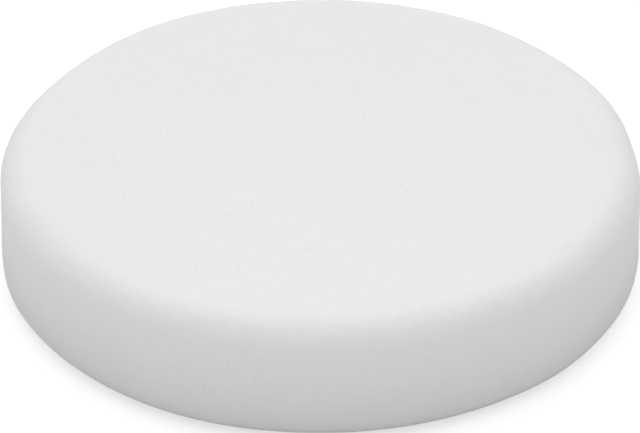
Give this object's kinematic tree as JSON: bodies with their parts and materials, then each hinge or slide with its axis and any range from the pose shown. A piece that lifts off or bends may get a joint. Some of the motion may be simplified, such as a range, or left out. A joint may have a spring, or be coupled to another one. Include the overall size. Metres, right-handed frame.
{
  "type": "polishing pad",
  "caption": "Round white foam pad for a rotary or dual-action polisher, with a softened working rim and a recessed hook-and-loop back.",
  "frame": {"origin": "centre of the back, at the tips of the loops, where the pad rests on a table with its working face up", "axes": "+Z along the pad's axis, out of the working face; X and Y are any two directions across the pad, which is the same all round"},
  "size_m": [0.15, 0.15, 0.03],
  "materials": {
    "foam": "matte",
    "adhesive": "satin",
    "knit_ground": "matte",
    "loop_nylon": "matte"
  },
  "bodies": {
    "root": {"foam_disc": "foam", "adhesive_film": "adhesive", "loop_ground": "knit_ground", "loop_pile": "loop_nylon"}
  },
  "joints": []
}
